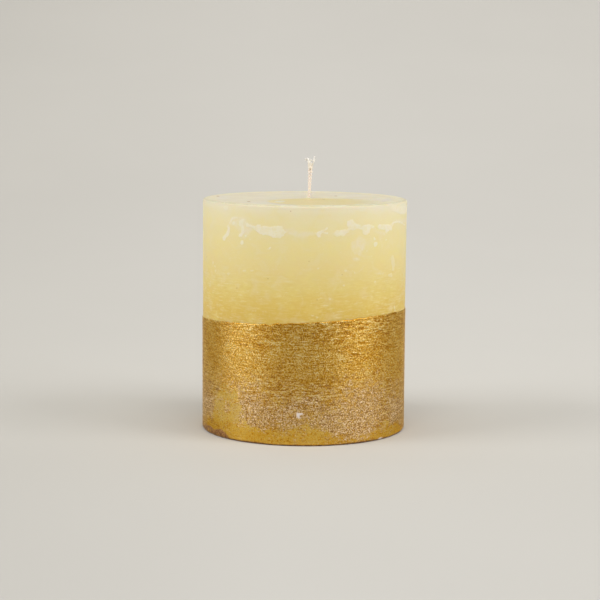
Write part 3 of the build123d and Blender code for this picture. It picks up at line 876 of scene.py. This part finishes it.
def pool_top(x, y, edge):
    d = np.hypot(x - WX, y - WY)
    ua = (x * 0.011) % 1.0
    z = DISH_Z + 0.05 - 0.10 * (1 - step(0.0, 0.9, edge))
    z = z + 0.42 * np.exp(-((np.maximum(d - 0.55, 0) / 0.42) ** 1.3))
    z = z + 0.012 * vnoise(ua, y * 0.25, 9, 81)
    return z


rings, skin = [], []


def pool_ring(q, z=None):
    x = POOL[0] + pr * q * np.cos(pa)
    y = POOL[1] + pr * q * np.sin(pa)
    if z is None:
        z = pool_top(x, y, pr * (1 - q))
    else:
        z = np.broadcast_to(z, x.shape)
    d = np.hypot(x - WX, y - WY)
    e = pr * (1 - q)
    skin.append(np.clip(0.75 * (1 - step(0.1, 1.1, e)) + 0.9 * (1 - step(1.0, 1.8, d)), 0, 1))
    return np.stack([x, y, z], 1)


rings.append(np.array([[POOL[0], POOL[1], DISH_Z - 0.85]]))
skin.append(np.array([0.0]))
for q in (0.4, 0.8, 0.97):
    rings.append(pool_ring(q, DISH_Z - 0.85))
rings.append(pool_ring(1.0, DISH_Z - 0.75))
rings.append(pool_ring(1.0, DISH_Z - 0.10))
for q in (0.995, 0.985, 0.97, 0.955, 0.94):
    rings.append(pool_ring(q))
for q in np.linspace(0.92, 0.03, 44):
    rings.append(pool_ring(q))
rings.append(np.array([[POOL[0], POOL[1], float(pool_top(np.array(POOL[0]), np.array(POOL[1]), np.array(9.0)))]]))
skin.append(np.array([0.0]))
verts = np.concatenate(rings)
faces = rings_to_solid(rings, NP)
# sleeve of the same wax down the bore, round the wick
base = len(verts)
NS = 48
sl = np.arange(NS) / NS
sleeve = []
for r, z in ((0.60, 5.8), (BORE_R, 5.8), (BORE_R, 30.0), (BORE_R, 55.0), (BORE_R, DISH_Z - 0.3), (0.60, DISH_Z - 0.3)):
    cx = 1.3 * max(0.0, (z - 8) / 71.2) if r < 1 else 0.0
    p = ring(sl, r, z)
    p[:, 0] += cx
    sleeve.append(p)
verts = np.concatenate([verts] + sleeve)
kk = np.arange(NS)
kk1 = (kk + 1) % NS
m = len(sleeve)
for i in range(m):
    a, b = base + i * NS, base + ((i + 1) % m) * NS
    faces += list(np.stack([a + kk, a + kk1, b + kk1, b + kk], 1))
skin.append(np.zeros(NS * m))
pool = make_mesh("wax_pool", verts, faces, attrs={"skin": np.concatenate(skin)})
pool.data.materials.append(make_pool_wax("pool_wax"))

# ----------------------------------------------------------------------------
# gold dip coat
# ----------------------------------------------------------------------------
def blob(s, z, s0, z0, rs, rz):
    """Soft mound round a point of the wall, 1 at its centre."""
    return np.exp(-(((wrap_s(s, s0) - s0) / rs) ** 2) - ((z - z0) / rz) ** 2)


def gold_masks(u, z):
    s = arc_s(u)
    wob = 1.5 * vnoise(u, z / 3.2, 60, 91) + 1.2 * vnoise(u, z / 1.3, 150, 92) + 1.1 * vnoise(u, z / 0.6, 330, 93)
    far = 0.5 - 0.5 * np.cos(u * TAU)  # 1 at the back
    # even coat: the drained band at the foot, and a tongue of it up the left front
    top_of_band = np.interp(s, [-60, -44, -38, -34, -30, -24, -21, -15, -8, 0, 4, 8, 13, 16, 24, 26, 34, 50, 70], [3.0, 3.0, 5.0, 16.5, 17.5, 16.5, 10.0, 5.8, 5.2, 6.4, 6.8, 5.6, 4.2, 1.2, 1.6, 4.4, 4.0, 2.6, 3.0])
    back_band = 3.4 + 2.2 * vnoise(u, 0 * u + 1.5, 9, 90) + 7.0 * np.clip(vnoise(u, 0 * u + 6.5, 8, 89) - 0.35, 0, 1)
    top_of_band = np.where(np.abs(s) < 60, top_of_band, back_band + (3.0 - back_band) * np.exp(-np.clip(np.abs(s) - 60, 0, 99) / 6.0))
    even = step(-1.6, 1.8, top_of_band - z + wob)
    holes = step(0.25, 0.75, vnoise(u, z / 1.9, 70, 88))
    even = even * (1 - 0.55 * holes * step(2.5, 5.0, z))
    patch = vnoise(u, z / 11, 13, 94)
    even = np.maximum(even, step(0.40, 0.75, patch) * far * step(30, 18, z) * 0.7)
    # rubbed zones, strongest just above the band
    worn = step(24.0, 10.0, z + 1.2 * wob) * (0.42 + 0.30 * vnoise(u, z / 5, 21, 95))
    worn = worn + 0.90 * blob(s, z, -18.0, 10.5, 6.0, 4.8) + 0.40 * blob(s, z, -3.0, 10.0, 5.5, 4.0) + 0.85 * blob(s, z, 20.5, 7.0, 6.0, 4.8)
    worn = worn + 0.75 * blob(s, z, 10.5, 8.3, 4.0, 2.6) + 0.46 * blob(s, z, 22.0, 16.5, 8.0, 5.5) + 0.25 * blob(s, z, -20.0, 19.0, 7.0, 5.0)
    worn = worn + 0.40 * blob(s, z, 38.0, 9.0, 7.0, 5.0) + 0.30 * blob(s, z, -44.0, 14.0, 6.0, 9.0)
    for s0, amp in ((64, 0.7), (84, 0.9), (103, 0.5), (-66, 0.8), (-88, 0.6)):
        worn = worn + amp * blob(s, z, s0, 8.0 + 2.5 * math.sin(s0), 7.0, 4.5)
    worn = worn + 0.10 * step(34, 20, z)
    worn = worn * (1 - 0.72 * even)
    worn = worn + 0.38 * blob(s, z, -20.5, 8.8, 4.5, 3.2) + 0.30 * blob(s, z, 20.5, 4.2, 5.5, 2.4)
    # copper-brown: a patch at the left foot, and the arris all round, partly rubbed and partly a painted contact shadow
    brown_top = np.interp(s, [-60, -52, -46, -38, -33, -30, -28, -26, -20, 60], [0.0, 1.2, 2.2, 2.6, 2.9, 2.2, 1.0, 0.0, -0.6, -0.6])
    brown = step(-0.35, 0.45, brown_top - z + 0.30 * wob) * step(-61, -55, s)
    arris = 0.50 + 0.22 * vnoise(u, 0 * u + 9.5, 44, 87) + 0.15 * vnoise(u, 0 * u + 3.5, 160, 86)
    brown = np.maximum(brown, step(-0.22, 0.12, arris - z))
    brown = np.maximum(brown, step(0.2, 0.75, vnoise(u, z / 3, 23, 96) - z / 4.5) * far * 0.8)
    chip = step(-0.10, 0.12, poly_sd(wrap_s(s, -1.3), z, CHIP) + 0.12 * vnoise(u, z / 0.5, 400, 97))
    chip = np.maximum(chip, step(-0.12, 0.12, 0.30 - np.hypot((wrap_s(s, 29.2) - 29.2) / 3.2, z - 0.55)))
    # brushed lines stand out in some places and drown in the grain in others
    lines = 0.62 + 0.42 * vnoise(u, z / 8.0, 12, 98) + 0.22 * vnoise(u, z / 3.0, 34, 99)
    lines = lines + 0.30 * blob(s, z, 6.0, 26.0, 15.0, 12.0) - 0.38 * blob(s, z, -26.0, 24.0, 11.0, 12.0) + 0.25 * blob(s, z, -5.0, 12.0, 6.0, 5.0)
    lines = lines + 0.34 * step(22, 42, np.abs(s))
    return even, np.clip(worn, 0, 1), np.clip(brown, 0, 1), np.clip(chip, 0, 1), np.clip(lines, 0.12, 1.1)


CHIP = [(-2.15, 11.5), (-1.6, 11.2), (-0.2, 11.4), (-0.5, 10.7), (-1.25, 10.5), (-0.9, 9.5), (-1.8, 9.3), (-2.15, 10.1)]
NG = 440
ug = column_points(NG)
sg = arc_s(ug)
zg = dip_z(ug)
zero_g = np.zeros(NG)
rings, at = [], {"ridge": [], "even": [], "worn": [], "brown": [], "chip": [], "lines": []}


def addg(rg, rd=None, masks=None):
    rings.append(rg)
    at["ridge"].append(zero_g if rd is None else rd)
    masks = masks if masks is not None else (zero_g + 0.9, zero_g, zero_g, zero_g, zero_g + 0.2)
    for key, m in zip(("even", "worn", "brown", "chip", "lines"), masks):
        at[key].append(m)


def coat_relief(u, z, even, worn):
    amp = 0.023 * (1 - 0.88 * even) * np.clip(0.35 + patchy(u, z), 0.3, 1.25)
    fine = vnoise(u, z / 0.42, 430, 101) * 0.009 * (1 - 0.85 * even)
    return ridges(u, z) * amp + wall_swell(u, z) * 0.8 + fine


# inner face, from the dip line down to the base opening, then out over the foot and up
inner = [(WAX_R - 0.03, None), (WAX_R - 0.03, 30.0), (WAX_R - 0.03, 20.0), (WAX_R - 0.03, 10.0), (WAX_R - 0.03, 0.95), (WAX_R - 0.3, COAT_T + 0.2), (WAX_R - 0.75, COAT_T)]
for r, z in inner:
    if z is None:
        addg(ring(ug, WAX_R - 0.12, zg - 0.25))
        addg(ring(ug, r, zg - 1.4))
    else:
        addg(ring(ug, r, z))
addg(ring(ug, 24.0, COAT_T))
addg(ring(ug, RECESS_R + 0.03, COAT_T))
addg(ring(ug, RECESS_R + 0.03, 0.03))
for r in (RECESS_R + 0.08, 12.0, 16.0, 20.0, 24.0, 28.0, 31.0, 33.0):
    wear = 0.5 + 0.5 * vnoise(ug, zero_g + r * 0.5, 40, 111)
    addg(ring(ug, r, 0.0), None, (zero_g + 0.7, wear * 0.5, zero_g, zero_g, zero_g + 0.2))
for a in (0, 15, 30, 45, 60, 75, 90):
    t = math.radians(a)
    r = COAT_R - 0.9 + 0.9 * math.sin(t)
    z = 0.9 - 0.9 * math.cos(t)
    lump = 0.05 * vnoise(ug, zero_g + a / 40.0, 55, 112) * math.sin(t)
    mk = gold_masks(ug, zero_g + z)
    addg(ring(ug, r + lump + coat_relief(ug, zero_g + z, mk[0], mk[1]) * math.sin(t), z), None, mk)
n_rows = 196
for i in range(1, n_rows + 1):
    t = i / n_rows
    z = 0.9 + (zg - 0.12 - 0.9) * t
    mk = gold_masks(ug, z)
    rd = ridges(ug, z)
    below = zg - z
    bead = 0.012 * np.exp(-(((below - 0.45) / 0.35) ** 2))
    thin = -0.04 * (1 - step(0.0, 0.35, below))
    addg(ring(ug, COAT_R + coat_relief(ug, z, mk[0], mk[1]) + bead + thin, z), rd, mk)
addg(ring(ug, COAT_R - 0.14 + wall_swell(ug, zg) * 0.8, zg))
gold = loop_solid("gold_dip", rings, NG, {key: np.concatenate(v) for key, v in at.items()})
gold.data.materials.append(make_gold("gold_lacquer"))

# ----------------------------------------------------------------------------
# wick: three plaited strands of yarn, then their loose ends
# ----------------------------------------------------------------------------
def tube(points, radii, sides=6, phase=0.0, cap=True):
    """Vertices and faces of a round tube along points, mm."""
    P = np.asarray(points, float)
    n = len(P)
    T = np.gradient(P, axis=0)
    T /= np.linalg.norm(T, axis=1)[:, None] + 1e-12
    ref = np.array([0.0, 1.0, 0.0])
    N = ref - T * (T @ ref)[:, None]
    N /= np.linalg.norm(N, axis=1)[:, None] + 1e-12
    B = np.cross(T, N)
    R = np.broadcast_to(np.asarray(radii, float), (n,))
    a = np.arange(sides) / sides * TAU + phase
    V = P[:, None, :] + R[:, None, None] * (np.cos(a)[None, :, None] * N[:, None, :] + np.sin(a)[None, :, None] * B[:, None, :])
    V = V.reshape(-1, 3)
    faces = []
    for i in range(n - 1):
        for j in range(sides):
            j1 = (j + 1) % sides
            faces.append((i * sides + j, (i + 1) * sides + j, (i + 1) * sides + j1, i * sides + j1))
    if cap:
        faces.append(tuple(range(sides)))
        faces.append(tuple((n - 1) * sides + j for j in range(sides))[::-1])
    return V, faces


class Bundle:
    def __init__(self):
        self.v, self.f, self.n = [], [], 0

    def add(self, V, F):
        self.v.append(V)
        self.f += [tuple(i + self.n for i in f) for f in F]
        self.n += len(V)

    def object(self, name):
        return make_mesh(name, np.concatenate(self.v), self.f)


LX = np.array([math.cos(LEAN), 0, -math.sin(LEAN)])  # sideways, in the plane of the lean
LZ = np.array([math.sin(LEAN), 0, math.cos(LEAN)])  # along the exposed wick
LY = np.array([0.0, 1.0, 0.0])
W0 = np.array([1.3, 0.0, 79.2])


def along(w):
    """Centre of the exposed wick at distance w over the bend, with a slight sway."""
    w = np.asarray(w, float)
    sway = 0.10 * np.sin(w * 0.42) * step(0, 3, w)
    return W0 + w[..., None] * LZ + sway[..., None] * LX


W_END = 11.4  # where the strands part for good
PITCH = 3.1
wide_w = np.array([-1.0, 0.4, 3.5, 4.0, 6.4, 8.8, 11.2, 12.5])
wide_v = np.array([0.62, 0.60, 0.53, 0.53, 0.60, 0.68, 0.90, 1.10])


def strand_centre(k, w):
    """Sideways and fore-and-aft offset of a strand."""
    p = w / PITCH * TAU + 3.377 + k * TAU / 3
    half = np.interp(w, wide_w, wide_v)
    a = half - 0.26
    plait = 1 - step(9.6, 11.4, w)
    ou = a * np.sin(p) * plait
    ov = 0.15 * np.sin(2 * p) * plait
    side = (-0.42, 0.02, 0.45)[k]
    dep = (-0.12, -0.34, 0.12)[k]
    ou = ou + side * (1 - plait) * np.interp(w, [9.0, 11.0, 13.0], [0.75, 1.0, 1.2])
    ov = ov + dep * (1 - plait)
    return ou, ov


rng = np.random.default_rng(5)
braid = Bundle()
# embedded length: one plain core in the tab's neck and the bore
core_pts = [(0, 0, 1.0), (0, 0, 4.0), (0, 0, 8.0), (0.33, 0, 26), (0.69, 0, 46), (1.06, 0, 66), (1.3, 0, 79.2)]
V, F = tube(core_pts + [tuple(along(np.array(0.9)))], 0.50, 14)
braid.add(V, F)
w = np.linspace(-0.4, W_END, 110)
yarns = 9
for k in range(3):
    ou, ov = strand_centre(k, w)
    for y in range(yarns):
        ph = y / yarns * TAU + rng.uniform(-0.2, 0.2)
        rr = 0.175 * rng.uniform(0.85, 1.1) * np.interp(w, [0, 8, 11.4], [1.0, 1.08, 1.35])
        tw = w / 1.9 * TAU + ph
        wob = 0.018 * np.sin(w * rng.uniform(2, 5) + rng.uniform(0, 6))
        pu = ou + rr * np.cos(tw) + wob
        pv = ov + rr * np.sin(tw) * 0.85
        P = along(w) + pu[:, None] * LX + pv[:, None] * LY
        V, F = tube(P, 0.092 * rng.uniform(0.9, 1.1), 6, rng.uniform(0, 6))
        braid.add(V, F)
    P = along(w) + ou[:, None] * LX + ov[:, None] * LY
    V, F = tube(P, 0.17, 7)
    braid.add(V, F)
# stray fibres along the plait
for i in range(26):
    w0 = rng.uniform(1.5, 11.0)
    k = int(rng.integers(0, 3))
    n = 9
    ww = w0 + np.linspace(0, rng.uniform(0.5, 1.3), n)
    ou, ov = strand_centre(k, ww)
    sgn = rng.choice([-1, 1])
    out = np.linspace(0, 1, n) ** 1.6 * rng.uniform(0.15, 0.5) + 0.2
    ang = rng.uniform(0, TAU)
    pu = ou + out * math.cos(ang) * sgn
    pv = ov + out * math.sin(ang)
    P = along(ww) + pu[:, None] * LX + pv[:, None] * LY
    V, F = tube(P, np.linspace(0.022, 0.010, n), 4)
    braid.add(V, F)
wick = braid.object("wick_braid")
wick.data.materials.append(make_cotton("wick_cotton"))

# loose ends: yarns that splay out of each strand
ends = Bundle()
# (distance along the wick, sideways, fore-and-aft) of each little sheaf, its yarns and its spread
SHEAVES = [
    ([(10.6, -0.42, -0.12), (11.8, -0.52, -0.15), (12.7, -0.72, -0.16), (13.6, -1.00, -0.12), (14.05, -1.36, -0.08), (13.75, -1.78, -0.05), (13.3, -1.95, -0.05)], 26, (0.19, 0.24, 0.25, 0.20)),
    ([(10.6, -0.42, -0.10), (11.8, -0.55, -0.12), (12.9, -0.80, -0.10), (13.7, -0.98, -0.05), (14.4, -1.02, 0.00)], 20, (0.19, 0.25, 0.28, 0.24)),
    ([(10.6, -0.34, -0.20), (11.8, -0.38, -0.24), (12.9, -0.42, -0.28), (13.7, -0.30, -0.30), (13.7, 0.10, -0.30), (13.3, 0.28, -0.28)], 18, (0.18, 0.22, 0.20, 0.14)),
    ([(10.6, 0.04, -0.30), (11.5, 0.04, -0.34), (12.4, 0.02, -0.36), (13.1, -0.02, -0.38)], 16, (0.18, 0.20, 0.18, 0.12)),
    ([(10.6, 0.44, 0.10), (11.8, 0.56, 0.12), (12.8, 0.80, 0.14), (13.7, 1.00, 0.15), (14.4, 1.00, 0.14), (15.15, 1.16, 0.10)], 28, (0.19, 0.24, 0.24, 0.18)),
    ([(10.6, 0.46, 0.12), (11.8, 0.60, 0.10), (12.9, 0.92, 0.06), (13.7, 1.22, 0.02)], 14, (0.18, 0.24, 0.22, 0.15)),
]


def smooth_path(pts, n):
    P = np.asarray(pts, float)
    t = np.linspace(0, len(P) - 1, n)
    Q = np.vstack([2 * P[0] - P[1], P, 2 * P[-1] - P[-2]])
    i = np.minimum(np.floor(t).astype(int), len(P) - 2)
    f = (t - i)[:, None]
    p0, p1, p2, p3 = Q[i], Q[i + 1], Q[i + 2], Q[i + 3]
    return 0.5 * ((2 * p1) + (-p0 + p2) * f + (2 * p0 - 5 * p1 + 4 * p2 - p3) * f**2 + (-p0 + 3 * p1 - 3 * p2 + p3) * f**3)


for pts, count, wide in SHEAVES:
    for y in range(count):
        n = 26
        C = smooth_path(pts, n)
        stop = rng.uniform(0.86, 1.0)
        m = max(8, int(n * stop))
        C = C[:m]
        t = np.linspace(0, 1, n)[:m]
        sp = np.interp(t, [0, 0.35, 0.7, 1.0], wide)
        ph = y / count * TAU * 2.4 + rng.uniform(-0.3, 0.3)
        rr = sp * math.sqrt(rng.uniform(0.1, 1.0)) * 1.1
        tw = ph + t * rng.uniform(0.5, 2.4)
        pu = C[:, 1] + rr * np.cos(tw) + 0.03 * np.sin(t * 9 + ph)
        pv = C[:, 2] + rr * np.sin(tw)
        P = along(C[:, 0]) + pu[:, None] * LX + pv[:, None] * LY
        r0 = rng.uniform(0.078, 0.112)
        V, F = tube(P, np.linspace(r0, r0 * 0.65, m), 5, ph)
        ends.add(V, F)
for i in range(44):  # single fibres of the fray
    C = smooth_path(SHEAVES[int(rng.integers(0, len(SHEAVES)))][0], 20)
    a0 = int(rng.integers(4, 16))
    c0 = C[a0]
    n = 9
    q = np.linspace(0, 1, n)
    L = rng.uniform(0.4, 1.0)
    ang = rng.uniform(0, TAU)
    dw = L * rng.uniform(0.1, 0.8)
    pu = c0[1] + q * L * math.cos(ang) * 0.6 + 0.1 * np.sin(q * 4)
    pv = c0[2] + q * L * math.sin(ang) * 0.5
    pw = np.minimum(c0[0] + q * dw, 15.2)
    P = along(pw) + pu[:, None] * LX + pv[:, None] * LY
    V, F = tube(P, np.linspace(0.028, 0.012, n), 4)
    ends.add(V, F)
tips = ends.object("wick_loose_ends")
tips.data.materials.append(make_cotton("wick_cotton_ends", tip=True))

# ----------------------------------------------------------------------------
# bodies and slots
# ----------------------------------------------------------------------------
for ob, body, nodes, slot in (
    (wax_skin, "candle", ("wax_body", "wax_top_pour"), "body_wax"),
    (pool, "candle", ("wick_well_fill",), "pool_wax"),
    (gold, "candle", ("gold_dip_coat",), "gold"),
    (tips, "wick_tip", ("wick_frayed_ends",), "fray_cotton"),
):
    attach(ob, body)
    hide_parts(*nodes)
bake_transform(wick)
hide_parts("wick_stem", "wick_free_end")
tin = make_tin("tinplate")
tab = frame["nodes"]["wick_tab"]
for i in range(len(tab.material_slots)):
    tab.material_slots[i].material = tin

# ----------------------------------------------------------------------------
# stage, lights and camera
# ----------------------------------------------------------------------------
FLOOR = (0.618, 0.611, 0.592)
WORLD = (0.36, (1.0, 0.96, 0.872, 1))
LEFT_W, RIGHT_W, TOP_W, BACK_W = 11.7, 11.6, 12.4, 7.2


def stage_sweep():
    """Floor that rises in one long easy curve into a backdrop far behind."""
    y0, big = 0.10, 2.6
    prof = [(-9.0, 0.0), (-3.0, 0.0), (-1.0, 0.0), (y0, 0.0)]
    for i in range(1, 33):
        a = math.radians(88 * i / 32)
        prof.append((y0 + big * math.sin(a), big * (1 - math.cos(a))))
    xs = np.linspace(-8.0, 8.0, 17)
    v, f = [], []
    for y, z in prof:
        for x in xs:
            v.append((x / MM, y / MM, z / MM))
    n = len(xs)
    for i in range(len(prof) - 1):
        for j in range(n - 1):
            f.append((n * i + j, n * i + j + 1, n * (i + 1) + j + 1, n * (i + 1) + j))
    return make_mesh("stage_sweep", v, f)


sweep = stage_sweep()
k = Mat("stage_paper")
pt = k.mix(k.remap(k.noise(0.004, 3.0, 0.6), 0.3, 0.7), (FLOOR[0] * 0.99, FLOOR[1] * 0.99, FLOOR[2] * 0.99, 1), (FLOOR[0] * 1.01, FLOOR[1] * 1.01, FLOOR[2] * 1.01, 1))
# painted shade: the paper darkens towards its left side, less so towards the front
fall = k.math("DIVIDE", k.axis("X"), k.math("MAXIMUM", k.math("ADD", k.axis("Y"), 620.0), 200.0))
fall = k.math("MULTIPLY", fall, k.remap(k.axis("Y"), -430.0, -310.0))
painted_shade = k.mix(k.remap(fall, -0.02, -0.17, 0.0, 1.0, "LINEAR"), (1, 1, 1, 1), (0.905, 0.902, 0.893, 1))
painted_shade = k.mix(k.remap(k.axis("Y"), 1800.0, -50.0, 0.0, 0.35, "LINEAR"), painted_shade, (1, 1, 1, 1))
# painted light and shade by depth: brightest just behind the candle, where it lifts the cast shadows, darker towards
# the front and up the backdrop
depth = k.remap(k.axis("Y"), -300.0, 2300.0, 0.0, 1.0, "LINEAR")
shade = k.ramp(depth, [((y + 300.0) / 2600.0, (v, v, v, 1)) for y, v in ((-300, 0.90), (-60, 0.905), (0, 0.94), (50, 1.0), (120, 0.975), (250, 0.957), (550, 0.918), (1400, 0.885), (2200, 0.845))])
mid = k.t.nodes.new("ShaderNodeVectorMath")
mid.operation = "MULTIPLY"
k.put(mid.inputs[0], painted_shade)
k.put(mid.inputs[1], shade)
painted_shade = mid.outputs["Vector"]
mul = k.t.nodes.new("ShaderNodeVectorMath")
mul.operation = "MULTIPLY"
k.put(mul.inputs[0], pt)
k.put(mul.inputs[1], painted_shade)
k.set(Base_Color=mul.outputs["Vector"])
k.b.inputs["Roughness"].default_value = 0.8
k.b.inputs["Specular IOR Level"].default_value = 0.15
sweep.data.materials.append(k.m)
sweep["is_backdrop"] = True

world = bpy.data.worlds.new("studio")
bpy.context.scene.world = world
world.use_nodes = True
bg = world.node_tree.nodes["Background"]
bg.inputs[0].default_value = WORLD[1]
bg.inputs[1].default_value = WORLD[0]


def area(name, az, el, dist, size, power, colour, size_y=None, aim=(0, 0, 0.04)):
    """Softbox aimed at the candle; azimuth 0 is the camera's side, positive towards +X."""
    li = bpy.data.lights.new(name, "AREA")
    li.shape = "RECTANGLE"
    li.size = size
    li.size_y = size_y or size
    li.energy = power
    li.color = colour
    ob = bpy.data.objects.new(name, li)
    a, e = math.radians(az), math.radians(el)
    ob.location = (dist * math.sin(a) * math.cos(e), -dist * math.cos(a) * math.cos(e), 0.04 + dist * math.sin(e))
    d = Vector(aim) - ob.location
    ob.rotation_euler = d.to_track_quat("-Z", "Y").to_euler()
    ob.visible_camera = False
    bpy.context.scene.collection.objects.link(ob)
    return ob


area("softbox_left", -71, 26, 1.5, 0.80, LEFT_W, (1.0, 0.984, 0.962), size_y=1.3)
area("softbox_right", 66, 27, 1.5, 0.80, RIGHT_W, (1.0, 0.986, 0.972), size_y=1.3)
area("front_fill", 6, 64, 1.6, 1.3, TOP_W, (1.0, 0.976, 0.925))
area("edge_left", -138, 8, 1.8, 1.0, 3.2, (1.0, 0.975, 0.93))
area("edge_right", 138, 8, 1.8, 1.0, 2.7, (1.0, 0.975, 0.93))
area("backdrop_wash", 180, 62, 1.5, 1.2, BACK_W, (1.0, 0.965, 0.91), aim=(0, 2.2, 0.35))

cam_data = bpy.data.cameras.new("camera")
cam = bpy.data.objects.new("camera", cam_data)
bpy.context.scene.collection.objects.link(cam)
cam_data.sensor_width = 36.0
cam_data.lens = 1800.44 / 600 * 36.0
cam_data.clip_start = 0.01
cam_data.clip_end = 50
cam.matrix_world = (
    Matrix.Translation((-0.00137, -0.61951, 0.125296))
    @ Matrix.Rotation(math.pi / 2 - 0.13, 4, "X")
    @ Matrix.Rotation(0.006, 4, "Z")
)
bpy.context.scene.camera = cam
bpy.context.scene.view_settings.view_transform = "Standard"
bpy.context.scene.view_settings.look = "None"

lo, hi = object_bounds()
